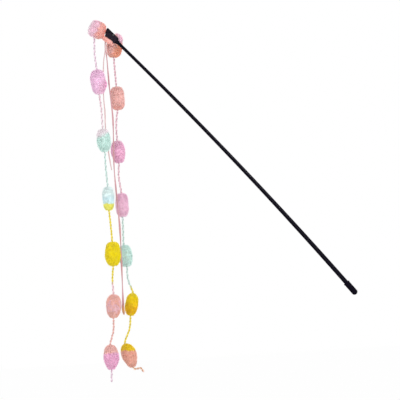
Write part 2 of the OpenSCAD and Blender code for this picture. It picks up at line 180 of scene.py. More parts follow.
def smooth_route(points: Sequence[Vector], step: float) -> list[Vector]:
    """Runs one smooth curve through a route's points.

    Args:
        points: The points that the curve goes through, in order.
        step: The distance between the points that come out, in metres.

    Returns:
        Points along the curve, about a step apart, from the first point to the last.
    """
    ends = [2 * points[0] - points[1], *points, 2 * points[-1] - points[-2]]
    fine: list[Vector] = []
    for a, b, c, d in zip(ends, ends[1:], ends[2:], ends[3:]):
        count = max(4, math.ceil((c - b).length / step * 2))
        for i in range(count):
            t = i / count
            fine.append(0.5 * (2 * b + (c - a) * t + (2 * a - 5 * b + 4 * c - d) * t * t
                               + (3 * b - a - 3 * c + d) * t ** 3))
    fine.append(points[-1].copy())
    lengths = np.cumsum([0.0] + [(b - a).length for a, b in zip(fine, fine[1:])])
    count = max(3, round(lengths[-1] / step) + 1)
    marks = np.linspace(0.0, lengths[-1], count)
    table = np.array(fine)
    return [Vector([np.interp(m, lengths, table[:, k]) for k in range(3)]) for m in marks]


def frames_along(route: Sequence[Vector], side: Vector) -> list[Matrix]:
    """Frames that follow a route without twisting, with Z along it.

    Args:
        route: The points to put the frames at.
        side: A direction for the first frame's X, not along the route.

    Returns:
        One matrix for each point.
    """
    out: list[Matrix] = []
    x_way = side.normalized()
    for i, place in enumerate(route):
        z_way = (route[min(i + 1, len(route) - 1)] - route[max(i - 1, 0)]).normalized()
        x_way = (x_way - z_way * x_way.dot(z_way)).normalized()
        y_way = z_way.cross(x_way)
        turn = Matrix((x_way, y_way, z_way)).transposed().to_4x4()
        out.append(Matrix.Translation(place) @ turn)
    return out


def around(frames: Sequence[Matrix], at: np.ndarray, turn: np.ndarray) -> tuple[np.ndarray, ...]:
    """The places of some frames, the ways outward at an angle round each, and the ways along the route."""
    x_way, y_way, z_way, place = np.array([np.array(f)[:3].T for f in frames])[at].transpose(1, 0, 2)
    return place, x_way * np.cos(turn)[:, None] + y_way * np.sin(turn)[:, None], z_way


def sweep(bm: BMesh, frames: Sequence[Matrix], sizes: Sequence[tuple[float, float]], sides: int) -> None:
    """Sweeps a round or oval ring through frames, and closes both ends.

    Args:
        bm: The mesh that the tube is added to.
        frames: Where the rings go, with Z along the tube.
        sizes: Each ring's half widths, along the frame's X and its Y.
        sides: How many sides the tube has.
    """
    rings = [f @ Matrix.Diagonal((wide, deep, 1.0, 1.0)) for f, (wide, deep) in zip(frames, sizes)]
    verts = bmesh.ops.create_circle(bm, segments=sides, radius=1.0)["verts"]
    first = edges = list(dict.fromkeys(e for v in verts for e in v.link_edges))
    bmesh.ops.transform(bm, matrix=rings[0], verts=verts)
    for last, ring in zip(rings, rings[1:]):
        made = bmesh.ops.extrude_edge_only(bm, edges=edges)["geom"]
        verts = [g for g in made if isinstance(g, BMVert)]
        edges = [g for g in made if isinstance(g, BMEdge) and set(g.verts) <= set(verts)]
        bmesh.ops.transform(bm, matrix=ring @ last.inverted(), verts=verts)
    bmesh.ops.holes_fill(bm, edges=first + edges, sides=sides)


def finished(name: str, bm: BMesh, material: Material, smooth: bool = True) -> Object:
    """Turns a bmesh into a piece of the scene, at the origin, with its faces pointing out.

    Args:
        name: The piece's name.
        bm: Its mesh, which is freed.
        material: Its finish.
        smooth: Whether its faces are shaded as one smooth surface.

    Returns:
        The piece.
    """
    bmesh.ops.recalc_face_normals(bm, faces=bm.faces)
    mesh = bpy.data.meshes.new(name)
    bm.to_mesh(mesh)
    bm.free()
    mesh.polygons.foreach_set("use_smooth", [smooth] * len(mesh.polygons))
    mesh.materials.append(material)
    return in_scene(name, mesh)


def tube(name: str, frames: Sequence[Matrix], sizes: Sequence[tuple[float, float]], sides: int,
         material: Material) -> Object:
    """Makes a swept tube a piece of its own.

    Args:
        name: The piece's name.
        frames: Where the tube's rings go.
        sizes: Each ring's two half widths.
        sides: How many sides the tube has.
        material: Its finish.

    Returns:
        The piece.
    """
    bm = bmesh.new()
    sweep(bm, frames, sizes, sides)
    return finished(name, bm, material)


def rounded(node: str, body: str, slot: str, radius: float, material: Material) -> None:
    """Copies a moulded node and rounds its sharp edges as a mould leaves them.

    Args:
        node: The CAD node.
        body: The body that it rides on.
        slot: Its material slot in the record.
        radius: How far the rounding starts from an edge.
        material: Its finish.
    """
    bm = bmesh.new()
    bm.from_mesh(frame["nodes"][node].data)
    bmesh.ops.remove_doubles(bm, verts=bm.verts, dist=MERGE)
    bmesh.ops.dissolve_limit(bm, angle_limit=FLAT, verts=bm.verts, edges=bm.edges)
    sharp = [e for e in bm.edges if len(e.link_faces) == 2 and e.calc_face_angle() > SHARP]
    bmesh.ops.bevel(bm, geom=sharp, offset=radius, offset_type="OFFSET", segments=2, profile=0.5,
                    affect="EDGES", clamp_overlap=True, material=-1)
    bmesh.ops.triangulate(bm, faces=bm.faces)
    piece = finished(f"{node}_moulded", bm, material)
    piece.modifiers.new("flat_faces", "WEIGHTED_NORMAL").weight = FLAT_WEIGHT
    dress(piece, slot, body, node)


class Nodes:
    """A short way to write a shader: it adds nodes and joins them."""

    def __init__(self, tree: NodeTree) -> None:
        """Starts on an empty tree."""
        self.tree = tree
        tree.nodes.clear()

    def add(self, kind: str, inputs: dict | None = None, **values: object) -> Node:
        """Adds a node.

        Args:
            kind: The shader node's type, without Blender's prefix.
            inputs: For each input, a value, or the output that feeds it.
            values: The node's own settings, which are made before its inputs.

        Returns:
            The new node.
        """
        node = self.tree.nodes.new(f"ShaderNode{kind}")
        for key, value in values.items():
            setattr(node, key, value)
        for key, value in (inputs or {}).items():
            if isinstance(value, NodeSocket):
                self.tree.links.new(value, node.inputs[key])
            else:
                node.inputs[key].default_value = value
        return node

    def math(self, operation: str, a: object, b: object = 0.0) -> NodeSocket:
        """A Math node's output."""
        return self.add("Math", {0: a, 1: b}, operation=operation).outputs[0]

    def mix(self, factor: object, a: object, b: object, blend: str = "MIX") -> NodeSocket:
        """The colour that lies between two colours."""
        node = self.add("Mix", {0: factor, 6: a, 7: b}, data_type="RGBA", blend_type=blend)
        return node.outputs[2]

    def between(self, value: object, low: float, high: float, to_low: object, to_high: object) -> NodeSocket:
        """A value moved from one range to another, and kept inside it."""
        return self.add("MapRange", {0: value, 1: low, 2: high, 3: to_low, 4: to_high}).outputs[0]

    def noise(self, place: object, scale: object, detail: float) -> NodeSocket:
        """A Noise Texture's output, from 0 to 1."""
        return self.add("TexNoise", {"Vector": place, "Scale": scale, "Detail": detail}).outputs["Fac"]


def new_material(name: str) -> tuple[Material, Nodes]:
    """Starts a material, with the writer of its empty shader."""
    made = bpy.data.materials.new(name)
    made.use_nodes = True
    return made, Nodes(made.node_tree)


def group(name: str, fill: Callable[[Nodes, dict], dict], inputs: dict[str, object]) -> NodeTree:
    """Makes a shader node group.

    Args:
        name: The group's name.
        fill: Takes the tree's writer and its inputs by name, and returns the outputs by name.
        inputs: Each input's name and its starting value, a number or a colour.

    Returns:
        The group.
    """
    tree = bpy.data.node_groups.new(name, "ShaderNodeTree")
    nodes = Nodes(tree)
    for label, value in inputs.items():
        kind = Socket.COLOUR if isinstance(value, tuple) else Socket.NUMBER
        tree.interface.new_socket(label, in_out="INPUT", socket_type=kind.value).default_value = value
    made = fill(nodes, tree.nodes.new("NodeGroupInput").outputs)
    for label, output in made.items():
        kind = Socket.COLOUR if output.type == "RGBA" else Socket.NUMBER
        tree.interface.new_socket(label, in_out="OUTPUT", socket_type=kind.value)
    end = tree.nodes.new("NodeGroupOutput")
    for label, output in made.items():
        tree.links.new(output, end.inputs[label])
    return tree


def pile_tone_and_shade(nodes: Nodes, given: dict) -> dict:
    """Tints a fibre: painted shade deepens it towards its root, so it is paler at its tip, and its tone
    stands a little apart from its neighbours.

    Args:
        nodes: The group's writer.
        given: The group's inputs.

    Returns:
        The group's outputs.
    """
    lay = nodes.add("Attribute", attribute_name="lay").outputs["Fac"]
    tone = nodes.add("Attribute", attribute_name="tone").outputs["Fac"]
    # Painted shade: the colour deepens towards the fibre's root, where the pile shades itself; the tone's
    # spread below is random.
    deep = nodes.mix(nodes.between(lay, 0.3, 0.9, given["Painted root shade"], 0.0), given["Colour"], given["Deep"])
    pale = nodes.mix(nodes.between(tone, 0.55, 1.0, 0.0, given["Spread"]), deep, WHITE)
    dark = nodes.mix(nodes.between(tone, 0.0, 0.45, given["Spread"], 0.0), pale, given["Deep"])
    return {"Colour": dark}


def fine_grain(nodes: Nodes, given: dict) -> dict:
    """Fine noise in Object coordinates, for bump and for roughness.

    Args:
        nodes: The group's writer.
        given: The group's inputs.

    Returns:
        The group's outputs.
    """
    place = nodes.add("TexCoord").outputs["Object"]
    grain = nodes.noise(place, given["Scale"], 4.0)
    return {"Height": grain, "Mask": nodes.between(grain, 0.35, 0.65, 0.0, 1.0)}


def rubbed_edge(nodes: Nodes, given: dict) -> dict:
    """A mask of the raised places of a moulded piece, where handling rubs it paler.

    Args:
        nodes: The group's writer.
        given: The group's inputs.

    Returns:
        The group's outputs.
    """
    point = nodes.add("NewGeometry").outputs["Pointiness"]
    place = nodes.add("TexCoord").outputs["Object"]
    breaks = nodes.between(nodes.noise(place, given["Scale"], 3.0), 0.4, 0.6, 0.0, 1.0)
    return {"Mask": nodes.math("MULTIPLY", nodes.between(point, 0.52, 0.6, 0.0, 1.0), breaks)}


PILE_TONE_AND_SHADE = group("pile_tone_and_shade", pile_tone_and_shade, {"Colour": WHITE, "Deep": WHITE, "Painted root shade": 0.8, "Spread": 0.2})
FINE_GRAIN = group("fine_grain", fine_grain, {"Scale": 900.0})
RUBBED_EDGE = group("rubbed_edge", rubbed_edge, {"Scale": 400.0})


@dataclass(frozen=True)
class Blend:
    """The colours along a direction: each stop is a share of the way and a colour as a screen shows it."""

    stops: tuple[tuple[float, RGB], ...]
    mottle: float = 0.1
    wander: float = 0.035
    sheen: float = 0.7


def plain(rgb: RGB, mottle: float = 0.1, sheen: float = 0.7) -> Blend:
    """One colour all the way."""
    return Blend(((0, rgb), (1, rgb)), mottle, sheen=sheen)


@dataclass(frozen=True)
class MouldedFinish:
    """A moulded or lacquered black surface: rod, clip, cap or ferrule."""

    name: str
    colour: RGB
    rubbed: RGB
    roughness: tuple[float, float]
    grain_scale: float
    bump: float
    specular: float = 0.2
    coat: float = 0.0
    bump_depth: float = 0.05 * MM

    def material(self) -> Material:
        """Builds the finish's shader.

        Returns:
            The material.
        """
        made, nodes = new_material(self.name)
        grain = nodes.add("Group", {"Scale": self.grain_scale}, node_tree=FINE_GRAIN)
        edge = nodes.add("Group", {"Scale": self.grain_scale / 2}, node_tree=RUBBED_EDGE)
        colour = nodes.mix(edge.outputs["Mask"], linear(self.colour), linear(self.rubbed))
        rough = nodes.between(grain.outputs["Mask"], 0.0, 1.0, *self.roughness)
        bump = nodes.add("Bump", {"Height": grain.outputs["Height"], "Strength": self.bump,
                                  "Distance": self.bump_depth})
        shader = nodes.add("BsdfPrincipled", {
            "Base Color": colour, "Roughness": rough, "Normal": bump.outputs["Normal"],
            "Specular IOR Level": self.specular, "Coat Weight": self.coat, "Coat Roughness": 0.06})
        nodes.add("OutputMaterial", {"Surface": shader.outputs["BSDF"]})
        return made


@dataclass(frozen=True)
class FibreFinish:
    """Dyed fibre, for pile, yarn and cord, with colours that change along a direction, and painted shade
    towards each fibre's root.
    """

    name: str
    blend: Blend
    start: Vector
    end: Vector
    # How strongly painted shade deepens the colour towards each fibre's root.
    root_depth: float = 0.06
    spread: float = 0.09
    roughness: float = 0.9
    deepen: float = 0.93
    patch_scale: float = 260.0
    mottle_scale: float = 900.0

    def material(self) -> Material:
        """Builds the finish's shader.

        Returns:
            The material.
        """
        made, nodes = new_material(self.name)
        place = nodes.add("TexCoord").outputs["Object"]
        way = self.end - self.start
        from_start = nodes.add("VectorMath", {0: place, 1: self.start}, operation="SUBTRACT").outputs[0]
        along = nodes.add("VectorMath", {0: from_start, 1: way / way.length_squared},
                          operation="DOT_PRODUCT").outputs["Value"]
        wander = self.blend.wander
        shift = nodes.between(nodes.noise(place, self.patch_scale, 2.0), 0.3, 0.7, -wander, wander)
        ramp = nodes.add("ValToRGB", {0: nodes.math("ADD", along, shift)})
        stops = ramp.color_ramp.elements
        while len(stops) < len(self.blend.stops):
            stops.new(1.0)
        for stop, (share, rgb) in zip(stops, self.blend.stops):
            stop.position = share
            stop.color = linear(rgb)
        mottle = nodes.noise(place, self.mottle_scale, 3.0)
        colour = ramp.outputs["Color"]
        deep = nodes.mix(1.0, colour, (self.deepen, self.deepen, self.deepen, 1.0), blend="MULTIPLY")
        deep = nodes.mix(0.5, deep, nodes.mix(1.0, deep, colour, blend="MULTIPLY"))
        mottled = nodes.mix(nodes.between(mottle, 0.4, 0.75, 0.0, self.blend.mottle), colour, deep)
        # The group paints shade towards each fibre's root and spreads the fibres' tones at random.
        toned = nodes.add("Group", {"Colour": mottled, "Deep": deep, "Painted root shade": self.root_depth,
                                    "Spread": self.spread}, node_tree=PILE_TONE_AND_SHADE)
        shader = nodes.add("BsdfPrincipled", {
            "Base Color": toned.outputs["Colour"], "Roughness": self.roughness, "Specular IOR Level": 0.15,
            "Sheen Weight": self.blend.sheen, "Sheen Roughness": 0.5})
        nodes.add("OutputMaterial", {"Surface": shader.outputs["BSDF"]})
        return made


@dataclass
class Studio:
    """The white surround, the pale floor, the soft lamps and the camera at the photograph's angle."""

    view_middle: Vector = field(default_factory=lambda: Vector((-174.6, 0, 115.9)) * MM)
    view_width: float = 480 * MM
    distance: float = 5000 * MM
    roll: float = math.radians(3.4)
    sensor: float = 36.0
    floor_drop: float = 90 * MM
    floor_size: float = 6.0
    floor_white: float = 0.97
    surround_light: float = 0.8

    def build(self) -> None:
        """Builds the camera first, then the lamps, the world and the floor."""
        self.camera()
        self.lamps()
        self.world()
        self.floor()
        bpy.context.scene.view_settings.view_transform = "Standard"

    def camera(self) -> None:
        """Puts the camera square to the strands, with the photograph's slight roll."""
        data = bpy.data.cameras.new("camera")
        data.sensor_width = self.sensor
        data.lens = self.sensor * self.distance / self.view_width
        data.clip_start, data.clip_end = 0.1, 40.0
        made = in_scene("camera", data)
        right = Vector((math.cos(self.roll), 0.0, -math.sin(self.roll)))
        up = Vector((math.sin(self.roll), 0.0, math.cos(self.roll)))
        back = right.cross(up)
        place = self.view_middle + back * self.distance
        made.matrix_world = Matrix.Translation(place) @ Matrix((right, up, back)).transposed().to_4x4()
        bpy.context.scene.camera = made

    def lamps(self) -> None:
        """A large soft key from the front, a fill, and a lamp square to the rod that draws its highlight."""
        for name, place, size, power in (
                ("key", (0.35, -2.4, 0.3), 1.3, 10.0),
                ("fill", (-1.2, -1.5, 0.4), 1.4, 5.0),
                ("strip", (1.63, -1.93, 1.63), 0.3, 14.0)):
            data = bpy.data.lights.new(name, "AREA")
            data.size = size
            data.energy = power
            lamp = in_scene(name, data)
            lamp.location = place
            lamp.rotation_mode = "QUATERNION"
            lamp.rotation_quaternion = (self.view_middle - Vector(place)).to_track_quat("-Z", "Y")

    def world(self) -> None:
        """An even white surround."""
        world = bpy.data.worlds.new("surround")
        world.use_nodes = True
        bpy.context.scene.world = world
        nodes = Nodes(world.node_tree)
        strength = nodes.between(self.seen(nodes), 0.0, 1.0, self.surround_light, 1.0)
        light = nodes.add("Background", {"Color": WHITE, "Strength": strength})
        nodes.add("OutputWorld", {"Surface": light.outputs[0]})

    @staticmethod
    def seen(nodes: Nodes) -> NodeSocket:
        """1 where a ray comes from the camera, a mirror or a clear piece, and else 0."""
        path = nodes.add("LightPath")
        some = nodes.math("MAXIMUM", path.outputs["Is Camera Ray"], path.outputs["Is Glossy Ray"])
        return nodes.math("MAXIMUM", some, path.outputs["Is Transmission Ray"])

    def floor(self) -> None:
        """A pale floor under the strands, which shows white and keeps their shadow."""
        low, high = cad_box
        place = Matrix.Translation(((low.x + high.x) / 2, (low.y + high.y) / 2, low.z - self.floor_drop))
        bm = bmesh.new()
        bmesh.ops.create_grid(bm, x_segments=1, y_segments=1, size=self.floor_size / 2, matrix=place)
        made, nodes = new_material("floor")
        matt = nodes.add("BsdfDiffuse", {"Color": (0.9, 0.9, 0.9, 1.0)})
        white = nodes.add("Emission", {"Color": WHITE, "Strength": 1.0})
        share = nodes.math("MULTIPLY", self.seen(nodes), self.floor_white)
        surface = nodes.add("MixShader", {0: share, 1: matt.outputs[0], 2: white.outputs[0]})
        nodes.add("OutputMaterial", {"Surface": surface.outputs[0]})
        finished("floor", bm, made, smooth=False)


@dataclass
class FibreShape:
    """One cut fibre, from its root at 0 to its tip at 1 along Z. Thousands of copies of it make the pile."""

    sides: int = 3
    rings: tuple[float, ...] = (0.4, 0.75)
    widths: tuple[float, ...] = (0.9, 1.0, 0.75, 0.0)
    map_margin: float = 0.06
    map_wrap: float = 0.75
    side_rise: tuple[float, float] = (0.16, 0.78)
    root_across: tuple[float, float] = (0.5, 0.4)
    root_rise: tuple[float, float] = (0.07, 0.06)

    def build(self) -> tuple[np.ndarray, np.ndarray, np.ndarray]:
        """Models the fibre.

        Returns:
            Its points, the three corners of each face, and each corner's place on the fibre's map.
        """
        bm = bmesh.new()
        bmesh.ops.create_cone(bm, cap_ends=True, segments=self.sides, radius1=1.0, radius2=0.0, depth=1.0,
                              matrix=Matrix.Translation((0.0, 0.0, 0.5)))
        for level in self.rings:
            geom = [*bm.verts, *bm.edges, *bm.faces]
            bmesh.ops.bisect_plane(bm, geom=geom, plane_co=(0, 0, level), plane_no=(0, 0, 1))
        levels = (0.0, *self.rings, 1.0)
        for vert in bm.verts:
            width = np.interp(vert.co.z, levels, self.widths) / max(math.hypot(vert.co.x, vert.co.y), 1e-6)
            vert.co.x *= width
            vert.co.y *= width
        bmesh.ops.triangulate(bm, faces=bm.faces)
        bm.verts.index_update()
        points = np.array([v.co[:] for v in bm.verts])
        corners = np.array([[v.index for v in f.verts] for f in bm.faces])
        bm.free()
        return points, corners, self.unrolled(points[corners])

    def unrolled(self, faces: np.ndarray) -> np.ndarray:
        """Unrolls the fibre on a map: its turn across, its height up, and its root's end below.

        Args:
            faces: The three corners of each face.

        Returns:
            Each corner's place on the map.
        """
        turn = np.arctan2(faces[..., 1], faces[..., 0]) / (2 * math.pi) % 1.0
        turn = np.where((np.ptp(turn, axis=1) > 0.5)[:, None] & (turn < 0.5), turn + 1.0, turn)
        tip = faces[..., 2] > 0.999
        others = (turn * ~tip).sum(axis=1, keepdims=True) / np.maximum((~tip).sum(axis=1, keepdims=True), 1)
        turn = np.where(tip, others, turn)
        root = (faces[..., 2] < 0.001).all(axis=1)[:, None]
        (middle, wide), (low, high), (side_low, side_high) = self.root_across, self.root_rise, self.side_rise
        across = np.where(root, middle + wide * faces[..., 0], turn * self.map_wrap)
        up = np.where(root, low + high * faces[..., 1], side_low + side_high * faces[..., 2])
        inside = self.map_margin + (1 - 2 * self.map_margin) * np.clip(across, 0.0, 1.0)
        return np.stack([inside, up], axis=-1)


FIBRE_POINTS, FIBRE_CORNERS, FIBRE_MAP = FibreShape().build()
BAKE_MAP = "OFBake"
REACHES = (0.5, 1.2)
WIDTHS = (0.75, 1.2)
BEND_SHARE = 0.25
# The packed middles take the full painted root shade, as the shade deep inside the pile.
SHADED_CORE_LAY = 0.3


def map_cells(roots: np.ndarray) -> tuple[np.ndarray, float]:
    """Shares a square map out among fibres, so that neighbours stay neighbours on the map.

    Args:
        roots: Where each fibre starts.

    Returns:
        The low corner of each fibre's cell, and the cells' size.
    """
    count = len(roots)
    across = math.ceil(math.sqrt(count))
    rank = np.empty(count, dtype=int)
    rank[np.argsort(roots[:, 2], kind="stable")] = np.arange(count)
    row = rank // across
    middle = roots.mean(axis=0)
    turn = np.arctan2(roots[:, 1] - middle[1], roots[:, 0] - middle[0])
    order = np.lexsort((turn, row))
    column = np.empty(count, dtype=int)
    column[order] = np.arange(count) - np.searchsorted(row[order], row[order])
    return np.stack([column, row], axis=1) / across, 1 / across


def plant(name: str, lines: Sequence[np.ndarray], widths: np.ndarray, tones: np.ndarray,
          material: Material) -> Object:
    """Copies the fibre along thousands of curves, as one piece.

    Args:
        name: The piece's name.
        lines: Where each fibre starts, the point that it bends towards, and where it ends.
        widths: Each fibre's half thickness at its root.
        tones: Each fibre's own tone, from 0 to 1.
        material: The piece's finish.

    Returns:
        The piece.
    """
    t = FIBRE_POINTS[:, 2][None, :, None]
    roots, bends, tips = lines
    line = (1 - t) ** 2 * roots[:, None] + 2 * t * (1 - t) * bends[:, None] + t * t * tips[:, None]
    way = unit(2 * (1 - t) * (bends - roots)[:, None] + 2 * t * (tips - bends)[:, None])
    helper = np.where(np.abs(way[..., 2:3]) < 0.9, np.array([0.0, 0.0, 1.0]), np.array([1.0, 0.0, 0.0]))
    u = unit(np.cross(way, helper))
    v = np.cross(way, u)
    across = FIBRE_POINTS[None, :, 0:1] * v + FIBRE_POINTS[None, :, 1:2] * -u
    points = (line + across * widths[:, None, None]).reshape(-1, 3)
    count, per = len(roots), len(FIBRE_POINTS)
    corners = (FIBRE_CORNERS[None] + per * np.arange(count)[:, None, None]).reshape(-1, 3)
    mesh = bpy.data.meshes.new(name)
    mesh.vertices.add(len(points))
    mesh.vertices.foreach_set("co", points.astype(np.float32).ravel())
    mesh.loops.add(corners.size)
    mesh.loops.foreach_set("vertex_index", corners.astype(np.int32).ravel())
    mesh.polygons.add(len(corners))
    mesh.polygons.foreach_set("loop_start", np.arange(0, corners.size, 3, dtype=np.int32))
    mesh.polygons.foreach_set("use_smooth", np.zeros(len(corners), dtype=bool))
    mesh.update(calc_edges=True)
    cells, cell_size = map_cells(roots)
    uv = cells[:, None, None] + FIBRE_MAP[None] * cell_size
    mesh.uv_layers.new(name=BAKE_MAP).uv.foreach_set("vector", uv.astype(np.float32).ravel())
    mesh.materials.append(material)
    piece = in_scene(name, mesh)
    # lay runs from 0 at a fibre's root to 1 at its tip, and sets how much painted root shade the finish gives
    # it.
    write_values(piece, lay=np.tile(FIBRE_POINTS[:, 2], count), tone=np.repeat(tones, per))
    return piece


@dataclass
class Pompom:
    """One tuft of cut pile round its core yarn, in place of the plain solid."""

    node: str
    body: str
    slot: str
    lean: float
    blend: Blend
    seed: int
    flow: Vector = field(default_factory=lambda: Vector((0, 0, -1)))
    also: tuple[str, ...] = ()
    fibres_per_mm2: float = 15.0
    fibre_width: float = 0.09 * MM
    shoulder: float = 2.9
    root_depth: float = 1.6 * MM
    curl_length: float = 1.9 * MM
    unevenness: float = 0.15 * MM
    stray_share: float = 0.1
    stray_length: float = 1.0 * MM
    stray_shares: tuple[float, float] = (0.4, 1.0)
    stray_lift: float = 0.6
    bend_dip: float = 0.1
    clump_curl: float = 0.8
    core_share: float = 0.85
    tuft_size: float = 1.1 * MM
    tuft_height: float = 0.2 * MM
    ripples: int = 14
    clump_count: int = 150
    narrowing: float = 0.0
    narrowing_power: float = 1.4
    lobe_sizes: tuple[float, float, float] = (0.045, 0.03, 0.03)
    clump_tone: float = 0.55
    mouth_r: float = 1.5 * MM
    mouth_slope: float = math.radians(22)
    mouth_drop: float = 2.5 * MM

    def measure(self) -> None:
        """Reads the pompom's place and size from the solid it stands for."""
        low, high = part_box(self.node)
        self.middle = (low + high) / 2
        tilt = abs(math.radians(self.lean))
        box_w, box_h = (high - low).y, (high - low).z
        self.width = box_w
        self.height = (box_h - box_w * math.sin(tilt) ** 2) / max(math.cos(tilt), 0.7) if tilt else box_h
        self.fibres = round(self.fibres_per_mm2 * (self.width / MM) * (self.height / MM))

    def build(self) -> None:
        """Grows the pile."""
        self.measure()
        rng = np.random.default_rng(self.seed)
        surface = self.over_barrel(rng, self.fibres)
        clumps = self.over_barrel(rng, self.clump_count)
        own = np.argmin(((surface[:, None] - clumps[None]) ** 2).sum(axis=2), axis=1)
        outward = self.outward_at(surface)
        curl = rng.normal(0.0, self.clump_curl, (self.clump_count, 3))[own]
        curl = along_surface(curl + rng.normal(0.0, 1.0, (self.fibres, 3)), outward)
        stray = rng.random((self.fibres, 1)) < self.stray_share
        stray = stray * rng.uniform(*self.stray_shares, (self.fibres, 1))
        reach = rng.uniform(*REACHES, (self.fibres, 1)) * self.curl_length * (1 - self.stray_lift * stray)
        roots = surface - outward * self.root_depth
        bends = surface + curl * BEND_SHARE * reach - outward * self.bend_dip * self.root_depth
        proud = rng.normal(0.0, self.unevenness, (self.fibres, 1)) + stray * self.stray_length
        tips = surface + curl * reach + outward * proud
        keep = self.clear_of_mouth(tips) & self.clear_of_mouth(bends)
        turn = np.array(Matrix.Rotation(math.radians(self.lean), 3, "Y"))
        place = np.array(self.middle)
        widths = self.fibre_width * rng.uniform(*WIDTHS, self.fibres)
        tones = self.clump_tone * rng.random(self.clump_count)[own]
        tones += (1 - self.clump_tone) * rng.random(self.fibres)
        way = self.flow.normalized() * self.height / 2
        finish = FibreFinish(f"{self.node}_pile", self.blend, self.middle - way, self.middle + way).material()
        lines = [points[keep] @ turn.T + place for points in (roots, bends, tips)]
        piece = plant(f"{self.node}_pile", lines, widths[keep], tones[keep], finish)
        dress(piece, self.slot, self.body, self.node, *self.also)
        self.core(rng, turn, finish)

    def over_barrel(self, rng: np.random.Generator, count: int) -> np.ndarray:
        """Spreads points evenly over the pompom's outer form.

        Args:
            rng: The pompom's own source of random numbers.
            count: How many points.

        Returns:
            The points, about the pompom's middle.
        """
        angles = np.linspace(0.0, math.pi, 400)
        wide = np.abs(np.sin(angles)) ** (2 / self.shoulder)
        high = np.sign(np.cos(angles)) * np.abs(np.cos(angles)) ** (2 / self.shoulder)
        rim, rise = self.width / 2 * wide, -self.height / 2 * high
        area = np.hypot(np.gradient(rim), np.gradient(rise)) * (rim + 1e-6)
        share = np.cumsum(area) / area.sum()
        pick = rng.random(count)
        q, z = np.interp(pick, share, rim), np.interp(pick, share, rise)
        turn = rng.uniform(0.0, 2 * math.pi, count)
        lobes = self.lobes(turn, z)
        return np.stack([q * lobes * np.cos(turn), q * lobes * np.sin(turn), z], axis=1)

    def lobes(self, turn: np.ndarray, z: np.ndarray) -> np.ndarray:
        """How far the pile swells or draws in.

        Args:
            turn: Angles round the yarn.
            z: Heights over the pompom's middle.

        Returns:
            At each place, a share of the even barrel's width.
        """
        drawn_in = 1 - self.narrowing * np.maximum(-2 * z / self.height, 0.0) ** self.narrowing_power
        wide, narrow, rolling = self.lobe_sizes
        waves = wide * np.cos(3 * turn + self.seed + 3 * z / self.height)
        waves = waves + narrow * np.cos(5 * turn - 2 * self.seed)
        rolls = rolling * np.cos(9 * z / self.height + 2 * turn + 3 * self.seed)
        return drawn_in * (1 + waves + rolls)

    def outward_at(self, points: np.ndarray) -> np.ndarray:
        """Finds the way that the barrel's surface faces.

        Args:
            points: Points on it, about the pompom's middle.

        Returns:
            The way at each of them, with a length of 1.
        """
        power = self.shoulder - 1
        shares = np.abs(points) / np.array([self.width / 2, self.width / 2, self.height / 2])
        aside = np.hypot(shares[:, 0], shares[:, 1]) + 1e-9
        slope = np.stack([shares[:, 0] / aside * aside ** power / self.width,
                          shares[:, 1] / aside * aside ** power / self.width,
                          shares[:, 2] ** power / self.height], axis=1) * np.sign(points)
        return unit(slope)

    def clear_of_mouth(self, points: np.ndarray) -> np.ndarray:
        """Finds the points that leave room under the pile for the next yarn to swing.

        Args:
            points: Points about the pompom's middle.

        Returns:
            Whether each of them does.
        """
        below = -(points[:, 2] + self.height / 2 - self.mouth_drop)
        aside = np.hypot(points[:, 0], points[:, 1])
        return (below < 0) | (aside > self.mouth_r + below * math.tan(self.mouth_slope))

    def core(self, rng: np.random.Generator, turn: np.ndarray, finish: Material) -> None:
        """Packs the middle of the pile, which keeps light from passing between the fibres; its colour is the
        fibres' painted root shade.

        Args:
            rng: The pompom's own source of random numbers.
            turn: How the pompom leans.
            finish: The pile's finish.
        """
        bm = bmesh.new()
        bmesh.ops.create_icosphere(bm, subdivisions=4, radius=1.0)
        for vert in bm.verts:
            flat = math.hypot(vert.co.x, vert.co.y)
            high = self.core_share * self.height / 2 * abs(vert.co.z) ** (2 / self.shoulder)
            high = math.copysign(high, vert.co.z)
            wide = self.core_share * self.width / 2 * flat ** (2 / self.shoulder) / max(flat, 1e-6)
            wide *= float(self.lobes(math.atan2(vert.co.y, vert.co.x), high))
            vert.co = Vector((vert.co.x * wide, vert.co.y * wide, high))
        bumps = rng.normal(0.0, 1.0, (self.ripples, 3)) / self.tuft_size
        phases = rng.uniform(0.0, 2 * math.pi, self.ripples)
        for vert in bm.verts:
            ripple = sum(math.sin(vert.co.dot(Vector(b)) + p) for b, p in zip(bumps, phases)) / 3
            vert.co += vert.co.normalized() * ripple * self.tuft_height
        place = Matrix.Translation(self.middle) @ Matrix(turn.tolist()).to_4x4()
        bmesh.ops.transform(bm, matrix=place, verts=bm.verts)
        piece = finished(f"{self.node}_middle", bm, finish)
        # Painted shade: the core takes the pile's deepest root colour.
        even_tone(piece, SHADED_CORE_LAY)
        dress(piece, self.slot, self.body)


